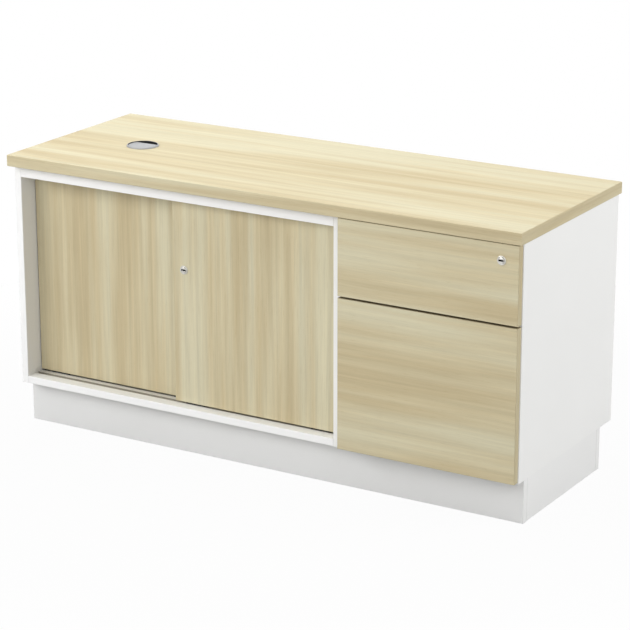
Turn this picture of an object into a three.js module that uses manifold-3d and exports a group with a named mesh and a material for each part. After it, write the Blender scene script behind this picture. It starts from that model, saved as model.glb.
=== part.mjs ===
// Office credenza: a sliding door cabinet and a drawer pedestal on one plinth, under one worktop.
// Millimetres, +Z up, front towards -Y, origin on the floor under the middle of the worktop.

import * as THREE from 'three';
import { mergeVertices } from 'three/addons/utils/BufferGeometryUtils.js';
import Module from 'manifold-3d';

const wasm = await Module();
wasm.setup();

// Worktop and overall size
const worktopWidth = 1200;
const worktopDepth = 450;
const overallHeight = 600;
const worktopThickness = 25;
const worktopEdgeRadius = 2;
const worktopEdgeSteps = 3;
const sideOverhang = 4;
const rearOverhang = 5;

// Boards
const boardThickness = 16;
const cabinetTopThickness = 25;
const backThickness = 8;
const backInset = 10;
const backGrooveDepth = 6;
const fitClearance = 0.25;
const arris = 0.75;
const pedestalWidth = 398;

// Plinth
const plinthHeight = 92.5;
const plinthThickness = 16;
const plinthSideInset = 3.5;
const plinthFrontInset = 50;
const plinthRearInset = 50;

// Drawer fronts
const frontThickness = 16;
const frontSetback = 1.5;
const frontGap = 2;
const frontLeftReveal = 3.75;
const frontRightReveal = 1;
const frontBottomReveal = 4.5;
const frontTopGap = 1;
const frontSplitGap = 4;
const fileFrontHeight = 314.75;

// Drawer boxes
const drawerSideThickness = 12;
const drawerBottomThickness = 6;
const drawerBottomInset = 10;
const drawerGrooveDepth = 5;
const drawerRearClearance = 24;
const topBoxFloorGap = 6;
const topBoxLockGap = 8;
const fileBoxFloorGap = 14;
const fileBoxHeadroom = 30;

// Drawer runners
const runnerThickness = 12.5;
const runnerSetback = 3;
const runnerWall = 1.25;
const runnerRace = 3;
const runnerPlay = 0.25;
const runnerLipGap = 2;
const runnerNestGap = 0.5;
const topRunnerHeight = 35;
const fileRunnerHeight = 45;

// Sliding doors and their tracks
const doorThickness = 16;
const doorSetback = 23;
const doorPitch = 23;
const doorEndGap = 1.5;
const frontDoorWidth = 393.75;
const doorOverlap = 44;
const doorFloorGap = 4;
const doorHeadGap = 3;
const trackGrooveWidth = 10;
const trackWall = 2;
const trackFloor = 1.5;
const bottomGrooveDepth = 7;
const topGrooveDepth = 10;
const glideLength = 42;
const glideSeat = 12;
const glideInset = 45;
const glidePlay = 0.75;
const glideLift = 0.25;
const glideNose = 4;
const guideHeadGap = 3;

// Shelf
const shelfHeight = 212;
const shelfSetback = 12;
const shelfSideGap = 0.5;
const pinInset = 50;
const pinStemDiameter = 5;
const pinStemLength = 8;
const pinHeadDiameter = 8;
const pinHeadLength = 9;

// Cable grommet
const grommetFromLeft = 200.25;
const grommetFromFront = 210;
const grommetHoleDiameter = 66;
const grommetFlangeWidth = 1.5;
const grommetFlangeHeight = 3;
const grommetRimWidth = 1;
const grommetWall = 1.25;
const grommetLedgeWidth = 1.5;
const capThickness = 3;
const capRecess = 1.75;
const capChordOffset = 16.5;
const cableHoleMargin = 3;

// Locks
const lockFlangeDiameter = 19;
const lockFlangeHeight = 1.5;
const lockBodyDiameter = 16;
const lockPlugDiameter = 13;
const lockPlugProud = 1;
const keywayWidth = 11;
const keywayHeight = 3.5;
const keywayDepth = 6;
const doorLockFromEdge = 26.5;
const doorLockHeight = 287.25;
const doorLockTail = 2;
const doorPlugLength = 10;
const doorBoltDiameter = 7;
const doorBoltGuideLength = 4;
const doorBoltStandoff = 1;
const doorBoltHoleDepth = 9;
const drawerLockFromEdge = 36.75;
const drawerLockFromTop = 32.75;

// Locking bar
const barWidth = 13.5;
const barThickness = 6.5;
const barFromFront = 15.5;
const barEndGap = 2;
const barLift = 8;
const camThickness = 2;
const camStep = 1;
const camPinDiameter = 5;
const camPinLength = 7;
const camGap = 0.5;
const lugThickness = 5;
const lugRim = 5;
const lugPlay = 2;
const tongueThickness = 5;
const tongueWidth = 10;
const tongueGap = 2;
const tongueReach = 10;
const notchPlay = 1;

const roundSegments = 48;
const smallSegments = 24;

// Finishes
function finish(color, roughness, metalness) {
  return new THREE.MeshStandardMaterial({ color, roughness, metalness });
}
const woodBoard = finish(0xccc09f, 0.5, 0);
const whiteBoard = finish(0xf8f8f7, 0.45, 0);
const plinthBoard = finish(0xe7e7e6, 0.45, 0);
const boxBoard = finish(0xe6e3da, 0.6, 0);
const trackPlastic = finish(0xd2d0c8, 0.5, 0);
const guidePlastic = finish(0x303031, 0.45, 0);
const runnerSteel = finish(0xb4b7ba, 0.35, 0.9);
const lockNickel = finish(0xd3d1cc, 0.3, 1);
const grommetSilver = finish(0xbcbdbe, 0.38, 0);

// Levels and planes that follow from the driving dimensions
const worktopLeft = -worktopWidth / 2;
const worktopRight = worktopWidth / 2;
const worktopFront = -worktopDepth / 2;
const worktopRear = worktopDepth / 2;
const carcassTop = overallHeight - worktopThickness;
const carcassLeft = worktopLeft + sideOverhang;
const carcassRight = worktopRight - sideOverhang;
const frontFace = worktopFront + frontSetback;
const frontBack = frontFace + frontThickness;
const carcassFront = frontBack + frontGap;
const carcassRear = worktopRear - rearOverhang;
const backRear = carcassRear - backInset;
const backFront = backRear - backThickness;
const pedestalLeft = carcassRight - pedestalWidth;
const floorLevel = plinthHeight + boardThickness;

// Turns a closed geometry into a solid that can be cut and joined.
function toSolid(geometry) {
  const bare = geometry.clone();
  bare.deleteAttribute('normal');
  bare.deleteAttribute('uv');
  const merged = mergeVertices(bare);
  return new wasm.Manifold(new wasm.Mesh({
    numProp: 3,
    vertProperties: new Float32Array(merged.attributes.position.array),
    triVerts: new Uint32Array(merged.index.array),
  }));
}

function toGeometry(solid) {
  const { vertProperties, triVerts } = solid.getMesh();
  const geometry = new THREE.BufferGeometry();
  geometry.setAttribute('position', new THREE.BufferAttribute(vertProperties, 3));
  geometry.setIndex(new THREE.BufferAttribute(triVerts, 1));
  return geometry;
}

function cut(geometry, ...tools) {
  return toGeometry(tools.reduce((solid, tool) => solid.subtract(toSolid(tool)), toSolid(geometry)));
}

function join(geometry, ...others) {
  return toGeometry(others.reduce((solid, other) => solid.add(toSolid(other)), toSolid(geometry)));
}

const alongX = new THREE.Vector3(1, 0, 0);
const alongY = new THREE.Vector3(0, 1, 0);
const alongZ = new THREE.Vector3(0, 0, 1);
const next = ({ x, y, z }) => new THREE.Vector3(z, x, y);

// Presses an outline along one axis. The outline lies on the two axes that follow it: an outline pressed
// along X holds Y and Z, one along Y holds Z and X, and one along Z holds X and Y.
function press(outline, axis, [from, to], edge = 0, steps = 1) {
  const geometry = new THREE.ExtrudeGeometry(outline, {
    depth: to - from - 2 * edge,
    bevelEnabled: edge > 0,
    bevelThickness: edge,
    bevelSize: edge,
    bevelOffset: -edge,
    bevelSegments: steps,
    curveSegments: smallSegments / 2,
  });
  geometry.translate(0, 0, from + edge);
  const basis = new THREE.Matrix4();
  basis.makeBasis(next(axis), next(next(axis)), axis);
  return geometry.applyMatrix4(basis);
}

const outlineOf = (points) => new THREE.Shape(points.map(([u, v]) => new THREE.Vector2(u, v)));
const rectangle = ([u0, u1], [v0, v1]) => outlineOf([[u0, v0], [u1, v0], [u1, v1], [u0, v1]]);
const around = (centre, width) => [centre - width / 2, centre + width / 2];
const grown = ([low, high], margin) => [low - margin, high + margin];
const between = (one, other) => [Math.min(one, other), Math.max(one, other)];

// A block between two planes on each axis.
const block = (x, y, z) => press(rectangle(x, y), alongZ, z);

// A board with its long edges broken, pressed through its thinnest side.
function board(x, y, z, edge = arris, steps = 1) {
  const ways = [
    { axis: alongX, span: x, sides: [y, z] },
    { axis: alongY, span: y, sides: [z, x] },
    { axis: alongZ, span: z, sides: [x, y] },
  ];
  const thickness = ({ span: [low, high] }) => high - low;
  const through = ways.reduce((thin, way) => (thickness(way) < thickness(thin) ? way : thin));
  return press(rectangle(...through.sides), through.axis, through.span, edge, steps);
}

// A round bar along one axis, through a centre on the two axes that follow it.
function rod(axis, [u, v], diameter, span, edge = 0, segments = smallSegments) {
  const points = Array.from({ length: segments }, (_, index) => {
    const angle = (index / segments) * 2 * Math.PI;
    return [u + (diameter / 2) * Math.cos(angle), v + (diameter / 2) * Math.sin(angle)];
  });
  return press(outlineOf(points), axis, span, edge);
}

const credenza = new THREE.Group();

function add(group, name, material, geometry) {
  const mesh = new THREE.Mesh(geometry, material);
  mesh.name = name;
  group.add(mesh);
}

function assembly() {
  const group = new THREE.Group();
  credenza.add(group);
  return group;
}

// A cutting block or rod runs this far past the face that it opens.
const past = 5;

// Worktop with its cable grommet: a turned liner on the top face and a cap that turns in it
const grommetX = worktopLeft + grommetFromLeft;
const grommetY = worktopFront + grommetFromFront;
const linerRadius = grommetHoleDiameter / 2 - fitClearance;
const capSeatRadius = linerRadius - grommetWall;
const boreRadius = capSeatRadius - grommetLedgeWidth;
const flangeRadius = grommetHoleDiameter / 2 + grommetFlangeWidth;
const flangeTop = overallHeight + fitClearance + grommetFlangeHeight;
const capTop = flangeTop - capRecess;
const capLedge = capTop - capThickness - fitClearance;
const capChord = grommetY + capChordOffset;

function grommetLiner() {
  const flangeUnder = overallHeight + fitClearance;
  const profile = [
    [boreRadius, carcassTop],
    [linerRadius, carcassTop],
    [linerRadius, flangeUnder],
    [flangeRadius, flangeUnder],
    [flangeRadius, flangeUnder + arris],
    [capSeatRadius + grommetRimWidth, flangeTop],
    [capSeatRadius, flangeTop],
    [capSeatRadius, capLedge],
    [boreRadius, capLedge],
    [boreRadius, carcassTop],
  ].map(([radius, height]) => new THREE.Vector2(radius, height));
  const liner = new THREE.LatheGeometry(profile, roundSegments).rotateX(Math.PI / 2);
  return liner.translate(grommetX, grommetY, 0);
}

function grommetCap() {
  const diameter = 2 * (capSeatRadius - fitClearance);
  const span = [capTop - capThickness, capTop];
  const disc = rod(alongZ, [grommetX, grommetY], diameter, span, arris, roundSegments);
  const segment = block(around(grommetX, diameter), [capChord, capChord + diameter], grown(span, past));
  return cut(disc, segment);
}

const top = assembly();
const worktopBoard = board(
  [worktopLeft, worktopRight], [worktopFront, worktopRear], [carcassTop, overallHeight],
  worktopEdgeRadius, worktopEdgeSteps,
);
const worktopHole = rod(
  alongZ, [grommetX, grommetY], grommetHoleDiameter,
  grown([carcassTop, overallHeight], past), 0, roundSegments,
);
add(top, 'worktop', woodBoard, cut(worktopBoard, worktopHole));
add(top, 'grommet_liner', grommetSilver, grommetLiner());
add(top, 'grommet_cap', grommetSilver, grommetCap());

// Four boards and a back let into grooves, with further cuts in a board given by its name
function carcass(name, left, right, ceiling, cuts) {
  const group = assembly();
  const inner = [left + boardThickness, right - boardThickness];
  const depth = [carcassFront, carcassRear];
  const height = [plinthHeight, carcassTop];
  const letIn = backGrooveDepth - fitClearance;
  const groove = block(
    grown(inner, backGrooveDepth), grown([backFront, backRear], fitClearance),
    grown([floorLevel, ceiling], backGrooveDepth),
  );
  const boards = {
    left_side: board([left, inner[0]], depth, height),
    right_side: board([inner[1], right], depth, height),
    bottom: board(inner, depth, [plinthHeight, floorLevel]),
    top: board(inner, depth, [ceiling, carcassTop]),
  };
  for (const [piece, geometry] of Object.entries(boards)) {
    add(group, `${name}_${piece}`, whiteBoard, cut(geometry, groove, ...(cuts[piece] ?? [])));
  }
  const back = board(grown(inner, letIn), [backFront, backRear], grown([floorLevel, ceiling], letIn));
  add(group, `${name}_back`, whiteBoard, back);
  return group;
}

// Cabinet: twin groove tracks, let into its bottom and its top
const cabinetInner = [carcassLeft + boardThickness, pedestalLeft - boardThickness];
const cabinetCeiling = carcassTop - cabinetTopThickness;
const frontDoorFace = carcassFront + doorSetback;
const rearDoorFace = frontDoorFace + doorPitch;
const rearDoorBack = rearDoorFace + doorThickness;
const grooveCentres = [frontDoorFace + doorThickness / 2, rearDoorFace + doorThickness / 2];
const trackSpan = grown(grooveCentres, trackGrooveWidth / 2 + trackWall);

// The track's face lies at a level, and its body runs into the board, down (-1) or up (1).
function track(level, into, grooveDepth) {
  const grooveBase = level + into * grooveDepth;
  const base = grooveBase + into * trackFloor;
  const [front, rear] = trackSpan;
  const grooves = grooveCentres.toReversed().flatMap((centre) => {
    const [near, far] = around(centre, trackGrooveWidth);
    return [[far, level], [far, grooveBase], [near, grooveBase], [near, level]];
  });
  const section = outlineOf([[front, base], [rear, base], [rear, level], ...grooves, [front, level]]);
  return {
    geometry: press(section, alongX, cabinetInner),
    recess: block(grown(cabinetInner, past), trackSpan, between(base, level - into * past)),
  };
}

const bottomTrack = track(floorLevel, -1, bottomGrooveDepth);
const topTrack = track(cabinetCeiling, 1, topGrooveDepth);
const cableHole = rod(
  alongZ, [grommetX, grommetY], grommetHoleDiameter + 2 * cableHoleMargin,
  grown([cabinetCeiling, carcassTop], past), 0, roundSegments,
);

// Shelf on four pins that stand in the cabinet's sides
const shelfLevel = floorLevel + shelfHeight;
const shelfDepth = [rearDoorBack + shelfSetback, backFront - shelfSideGap];
const pinLevel = shelfLevel - fitClearance - pinHeadDiameter / 2;
const pinPlaces = { front: shelfDepth[0] + pinInset, rear: shelfDepth[1] - pinInset };

const pinHoles = (face, inwards) => Object.values(pinPlaces).map((place) => {
  const span = between(face + inwards * past, face - inwards * (pinStemLength + fitClearance));
  return rod(alongX, [place, pinLevel], pinStemDiameter + 2 * fitClearance, span);
});

function shelfPin(face, inwards, place) {
  const headSpan = between(face, face + inwards * pinHeadLength);
  const stemSpan = between(face - inwards * pinStemLength, face + inwards * pinHeadLength);
  const head = rod(alongX, [place, pinLevel], pinHeadDiameter, headSpan);
  return join(head, rod(alongX, [place, pinLevel], pinStemDiameter, stemSpan));
}

const cabinet = carcass('cabinet', carcassLeft, pedestalLeft, cabinetCeiling, {
  left_side: pinHoles(cabinetInner[0], 1),
  right_side: pinHoles(cabinetInner[1], -1),
  bottom: [bottomTrack.recess],
  top: [topTrack.recess, cableHole],
});
add(cabinet, 'bottom_track', trackPlastic, bottomTrack.geometry);
add(cabinet, 'top_track', trackPlastic, topTrack.geometry);
const shelfSpan = grown(cabinetInner, -shelfSideGap);
const shelfHeights = [shelfLevel, shelfLevel + boardThickness];
add(cabinet, 'shelf', whiteBoard, board(shelfSpan, shelfDepth, shelfHeights));
for (const [depthName, place] of Object.entries(pinPlaces)) {
  add(cabinet, `shelf_pin_${depthName}_left`, lockNickel, shelfPin(cabinetInner[0], 1, place));
  add(cabinet, `shelf_pin_${depthName}_right`, lockNickel, shelfPin(cabinetInner[1], -1, place));
}

// Sliding doors, each on two glides in the bottom track and two guides in the top track
const doorSpan = grown(cabinetInner, -doorEndGap);
const rearDoorWidth = doorSpan[1] - doorSpan[0] - frontDoorWidth + doorOverlap;
const doorHeight = [floorLevel + doorFloorGap, cabinetCeiling - doorHeadGap];
const glideWidth = trackGrooveWidth - 2 * glidePlay;
const glideTip = floorLevel - bottomGrooveDepth + glideLift;
const guideTip = cabinetCeiling + topGrooveDepth - guideHeadGap;

// A plastic slider let into a door's edge, with its nose cut back at both ends.
function slider(centre, plane, seat, tip) {
  const [left, right] = around(centre, glideLength);
  const nose = Math.sign(seat - tip) * glideNose;
  const outline = outlineOf([
    [seat, left], [seat, right], [tip + nose, right], [tip, right - glideNose],
    [tip, left + glideNose], [tip + nose, left],
  ]);
  return press(outline, alongY, around(plane, glideWidth));
}

function slidingDoor(name, [left, right], face, cuts) {
  const group = assembly();
  const plane = face + doorThickness / 2;
  const [foot, head] = doorHeight;
  const glideSeatLevel = foot + glideSeat;
  const guideSeatLevel = head - glideSeat;
  const centres = { left: left + glideInset, right: right - glideInset };
  const pockets = Object.values(centres).flatMap((centre) => {
    const pocketX = around(centre, glideLength + 2 * fitClearance);
    const pocketY = around(plane, glideWidth + 2 * fitClearance);
    return [
      block(pocketX, pocketY, [foot - past, glideSeatLevel + fitClearance]),
      block(pocketX, pocketY, [guideSeatLevel - fitClearance, head + past]),
    ];
  });
  const leaf = board([left, right], [face, face + doorThickness], doorHeight);
  add(group, name, woodBoard, cut(leaf, ...pockets, ...cuts));
  for (const [end, centre] of Object.entries(centres)) {
    add(group, `${name}_glide_${end}`, guidePlastic, slider(centre, plane, glideSeatLevel, glideTip));
    add(group, `${name}_guide_${end}`, guidePlastic, slider(centre, plane, guideSeatLevel, guideTip));
  }
  return group;
}

const frontDoorSpan = [doorSpan[1] - frontDoorWidth, doorSpan[1]];
const rearDoorSpan = [doorSpan[0], doorSpan[0] + rearDoorWidth];

// Lock in the front door: its plug throws a bolt into a hole in the rear door
const doorLock = [doorHeight[0] + doorLockHeight, frontDoorSpan[0] + doorLockFromEdge];
const doorLockRear = frontDoorFace + doorThickness + doorLockTail;
const doorPlugFace = frontDoorFace - lockFlangeHeight - lockPlugProud;
const doorPlugRear = doorPlugFace + doorPlugLength;
const doorBoltFront = doorPlugRear + fitClearance;
const lockRod = (centre, diameter, span) => rod(alongY, centre, diameter, span);

function lockHousing(centre, face, rear) {
  const flange = lockRod(centre, lockFlangeDiameter, [face - lockFlangeHeight, face]);
  const body = lockRod(centre, lockBodyDiameter, [face - lockFlangeHeight, rear]);
  const bore = lockPlugDiameter + 2 * fitClearance;
  const hole = lockRod(centre, bore, grown([face - lockFlangeHeight, rear], past));
  return cut(join(flange, body), hole);
}

const lockHole = (centre, face, rear) => lockRod(
  centre, lockBodyDiameter + 2 * fitClearance, grown([face, rear], past),
);
const keyway = ([level, across], face) => block(
  around(across, keywayWidth), [face - past, face + keywayDepth], around(level, keywayHeight),
);

const doorLockHole = lockHole(doorLock, frontDoorFace, frontDoorFace + doorThickness);
const frontDoor = slidingDoor('front_door', frontDoorSpan, frontDoorFace, [doorLockHole]);
const boltHole = lockRod(
  doorLock, doorBoltDiameter + 2 * notchPlay, [rearDoorFace - past, rearDoorFace + doorBoltHoleDepth],
);
slidingDoor('rear_door', rearDoorSpan, rearDoorFace, [boltHole]);

const doorPlug = lockRod(doorLock, lockPlugDiameter, [doorPlugFace, doorPlugRear]);
const boltGuide = lockRod(doorLock, lockPlugDiameter, [doorBoltFront, doorBoltFront + doorBoltGuideLength]);
const boltNose = lockRod(doorLock, doorBoltDiameter, [doorBoltFront, rearDoorFace - doorBoltStandoff]);
add(frontDoor, 'door_lock_housing', lockNickel, lockHousing(doorLock, frontDoorFace, doorLockRear));
add(frontDoor, 'door_lock_plug', lockNickel, cut(doorPlug, keyway(doorLock, doorPlugFace)));
add(frontDoor, 'door_lock_bolt', lockNickel, join(boltGuide, boltNose));

// Pedestal with a groove for the locking bar in its right side
const pedestalInner = [pedestalLeft + boardThickness, carcassRight - boardThickness];
const pedestalCeiling = carcassTop - boardThickness;
const barPlace = carcassFront + barFromFront;
const barSpan = around(barPlace, barWidth);
const barFace = pedestalInner[1] + fitClearance;
const barBack = barFace + barThickness;
const barGroove = block(
  [pedestalInner[1] - past, barBack + fitClearance], grown(barSpan, fitClearance),
  [floorLevel, pedestalCeiling],
);
const pedestal = carcass('pedestal', pedestalLeft, carcassRight, pedestalCeiling, {
  right_side: [barGroove],
});

// Drawers: overlay fronts and boxes with their bottoms let into grooves
const frontSpan = [pedestalLeft + frontLeftReveal, carcassRight - frontRightReveal];
const fileFront = [plinthHeight + frontBottomReveal, plinthHeight + frontBottomReveal + fileFrontHeight];
const topFront = [fileFront[1] + frontSplitGap, carcassTop - frontTopGap];
const drawerLock = [topFront[1] - drawerLockFromTop, frontSpan[1] - drawerLockFromEdge];
const boxSpan = grown(pedestalInner, -runnerThickness);
const boxRear = backFront - drawerRearClearance;
const topBox = [topFront[0] + topBoxFloorGap, drawerLock[0] - lockFlangeDiameter / 2 - topBoxLockGap];
const fileBox = [floorLevel + fileBoxFloorGap, fileFront[1] - fileBoxHeadroom];

function drawer(name, front, [low, high], frontCuts) {
  const group = assembly();
  const inside = grown(boxSpan, -drawerSideThickness);
  const sideDepth = [frontBack, boxRear];
  const bottom = [low + drawerBottomInset, low + drawerBottomInset + drawerBottomThickness];
  const letIn = drawerGrooveDepth - fitClearance;
  const groove = block(
    grown(inside, drawerGrooveDepth), [frontBack - drawerGrooveDepth, boxRear + past],
    grown(bottom, fitClearance),
  );
  const notch = block(
    [inside[1] - past, boxSpan[1] + past], around(barPlace, tongueWidth + 2 * notchPlay),
    [low - past, low + barLift - tongueGap + notchPlay],
  );
  const overlay = board(frontSpan, [frontFace, frontBack], front);
  const leftSide = board([boxSpan[0], inside[0]], sideDepth, [low, high]);
  const rightSide = board([inside[1], boxSpan[1]], sideDepth, [low, high]);
  const back = board(inside, [boxRear - drawerSideThickness, boxRear], [bottom[1], high]);
  add(group, `${name}_front`, woodBoard, cut(overlay, groove, ...frontCuts));
  add(group, `${name}_left_side`, boxBoard, cut(leftSide, groove));
  add(group, `${name}_right_side`, boxBoard, cut(rightSide, groove, notch));
  add(group, `${name}_back`, boxBoard, back);
  add(group, `${name}_bottom`, boxBoard, block(grown(inside, letIn), [frontBack - letIn, boxRear], bottom));
  return group;
}

const topDrawer = drawer('top_drawer', topFront, topBox, [lockHole(drawerLock, frontFace, frontBack)]);
drawer('file_drawer', fileFront, fileBox, []);

// Runners: nested channels, with ball races on the flanges of each inner one
function channel(web, tip, height, race) {
  const inwards = Math.sign(tip - web);
  const edge = height / 2;
  const raceEdge = edge + race;
  const raceSpan = around(web + (tip - web) / 2, runnerRace);
  const [raceNear, raceFar] = inwards > 0 ? raceSpan : raceSpan.toReversed();
  const half = [
    [web, edge], [raceNear, edge], [raceNear, raceEdge], [raceFar, raceEdge], [raceFar, edge],
    [tip, edge], [tip, edge - runnerWall], [web + inwards * runnerWall, edge - runnerWall],
  ].filter(([offset]) => race > 0 || !raceSpan.includes(offset));
  return [...half, ...half.map(([offset, level]) => [offset, -level]).toReversed()];
}

const nestedHeight = (height) => height - 2 * (runnerWall + runnerRace);
const raceHeight = runnerRace - runnerPlay;
const channelTip = runnerThickness - runnerLipGap;
const middleWeb = runnerWall + runnerNestGap;

function runnerMembers(height, telescopic) {
  const members = { fixed: channel(0, channelTip, height, 0) };
  if (telescopic) {
    members.middle = channel(middleWeb, channelTip, nestedHeight(height), raceHeight);
  }
  const carrierWeb = telescopic ? middleWeb + runnerWall : runnerWall;
  const carrierHeight = telescopic ? nestedHeight(height) : height;
  const drawerTip = carrierWeb + runnerLipGap;
  members.drawer = channel(runnerThickness, drawerTip, nestedHeight(carrierHeight), raceHeight);
  return members;
}

function runners(name, height, telescopic, [low, high]) {
  const group = assembly();
  const level = (low + high) / 2;
  const reach = [carcassFront + runnerSetback, boxRear];
  const sides = { left: [pedestalInner[0], 1], right: [pedestalInner[1], -1] };
  for (const [side, [face, inwards]] of Object.entries(sides)) {
    for (const [member, points] of Object.entries(runnerMembers(height, telescopic))) {
      const outline = outlineOf(points.map(([offset, rise]) => [level + rise, face + inwards * offset]));
      add(group, `${name}_runner_${side}_${member}`, runnerSteel, press(outline, alongY, reach));
    }
  }
}

runners('top', topRunnerHeight, false, topBox);
runners('file', fileRunnerHeight, true, fileBox);

// Drawer lock: the plug's cam pin lifts the locking bar, whose tongues rise into the drawer sides' notches
const [drawerLockLevel, drawerLockX] = drawerLock;
const plugFace = frontFace - lockFlangeHeight - lockPlugProud;
const lugSpan = [barSpan[0], barSpan[0] + lugThickness];
const camSpan = [lugSpan[0] - camGap - camThickness, lugSpan[0] - camGap];
const drawerLockRear = camSpan[0] - fitClearance;
const camThrow = barLift;
const camPinRadius = camPinDiameter / 2;
const camPin = [drawerLockLevel, drawerLockX + camThrow];
const lugSlotX = [drawerLockX - camPinRadius - notchPlay, camPin[1] + camPinRadius + notchPlay];
const lugSlotZ = [
  drawerLockLevel - camPinRadius - fitClearance,
  drawerLockLevel + camPinRadius + lugPlay,
];

function camOutline() {
  const outline = new THREE.Shape();
  const radius = lockPlugDiameter / 2 - camStep;
  outline.absarc(drawerLockLevel, drawerLockX, radius, Math.PI, 2 * Math.PI);
  outline.absarc(camPin[0], camPin[1], radius, 0, Math.PI);
  return outline;
}

function lockingBar() {
  const lugZ = grown(lugSlotZ, lugRim);
  const strip = block([barFace, barBack], barSpan, [floorLevel + barEndGap, lugZ[1]]);
  const lug = block([lugSlotX[0] - lugRim, barBack], lugSpan, lugZ);
  const slot = block(lugSlotX, grown(lugSpan, past), lugSlotZ);
  const tongues = [topBox[0], fileBox[0]].map((low) => block(
    [boxSpan[1] - tongueReach, barBack], around(barPlace, tongueWidth),
    [low - tongueGap - tongueThickness, low - tongueGap],
  ));
  return join(strip, cut(lug, slot), ...tongues);
}

const plugStem = lockRod(drawerLock, lockPlugDiameter, [plugFace, camSpan[1]]);
const cam = press(camOutline(), alongY, camSpan);
const pin = lockRod(camPin, camPinDiameter, [camSpan[0], camSpan[1] + camPinLength]);
add(topDrawer, 'drawer_lock_housing', lockNickel, lockHousing(drawerLock, frontFace, drawerLockRear));
add(topDrawer, 'drawer_lock_plug', lockNickel, cut(join(plugStem, cam, pin), keyway(drawerLock, plugFace)));
add(pedestal, 'locking_bar', runnerSteel, lockingBar());

// Plinth frame under both carcasses
const plinth = assembly();
const plinthX = grown([carcassLeft, carcassRight], -plinthSideInset);
const plinthY = [worktopFront + plinthFrontInset, worktopRear - plinthRearInset];
const plinthZ = [0, plinthHeight];
const plinthEndY = grown(plinthY, -plinthThickness);
add(plinth, 'plinth_front', plinthBoard, board(plinthX, [plinthY[0], plinthEndY[0]], plinthZ));
add(plinth, 'plinth_back', plinthBoard, board(plinthX, [plinthEndY[1], plinthY[1]], plinthZ));
const plinthEndX = grown(plinthX, -plinthThickness);
add(plinth, 'plinth_left', plinthBoard, board([plinthX[0], plinthEndX[0]], plinthEndY, plinthZ));
add(plinth, 'plinth_right', plinthBoard, board([plinthEndX[1], plinthX[1]], plinthEndY, plinthZ));

export default credenza;
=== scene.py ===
"""Dresses the office credenza: finishes, turned lock and grommet pieces, screw heads and a studio.

Pieces are measured in millimetres, and finishes, floor and lamps in metres.
"""

import logging
import math
from dataclasses import dataclass
from enum import Enum

import bmesh
import bpy
from mathutils import Matrix, Vector


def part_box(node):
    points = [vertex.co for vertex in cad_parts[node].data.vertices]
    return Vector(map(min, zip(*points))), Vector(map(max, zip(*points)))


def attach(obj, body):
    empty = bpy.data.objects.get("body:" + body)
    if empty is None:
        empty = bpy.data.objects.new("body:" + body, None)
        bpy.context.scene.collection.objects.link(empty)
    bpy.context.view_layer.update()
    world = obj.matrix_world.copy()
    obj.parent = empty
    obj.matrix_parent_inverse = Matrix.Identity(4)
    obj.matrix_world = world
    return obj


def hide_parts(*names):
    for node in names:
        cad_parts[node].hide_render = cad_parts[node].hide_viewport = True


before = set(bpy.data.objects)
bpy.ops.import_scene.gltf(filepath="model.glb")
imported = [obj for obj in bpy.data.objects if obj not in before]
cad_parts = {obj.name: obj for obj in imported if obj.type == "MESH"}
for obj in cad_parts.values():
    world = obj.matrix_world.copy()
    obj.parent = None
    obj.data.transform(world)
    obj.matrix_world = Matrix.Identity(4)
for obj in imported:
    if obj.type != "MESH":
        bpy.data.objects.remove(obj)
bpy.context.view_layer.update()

MM = 0.001
log = logging.getLogger("credenza")

Triple = tuple[float, float, float]
Colour = tuple[float, float, float]
Span = tuple[float, float]
Socket = bpy.types.NodeSocket

ORIGIN: Triple = (0.0, 0.0, 0.0)
UNTINTED: Colour = (1.0, 1.0, 1.0)
SIDES = ("left", "right")

# Nearly every value of a noise lies in this span
MOST_NOISE: Span = (0.3, 0.7)

# Edges that turn more than this are sharp, and lathe work has this many sides
SHARP_ANGLE = math.radians(35)
ROUND_STEPS = 96

# Corners closer than the first are one, and edges shorter than the second are dropped, in millimetres
SAME_PLACE = 1e-4
NO_LENGTH = 1e-5


class Axis(Enum):
    """A direction of the shared frame, and its place in a vector."""

    X = 0
    Y = 1
    Z = 2

    def scale(self, along: float, across: float) -> Triple:
        """A scale of one value along the axis and another across it."""
        return tuple(along if place == self.value else across for place in range(3))


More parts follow.
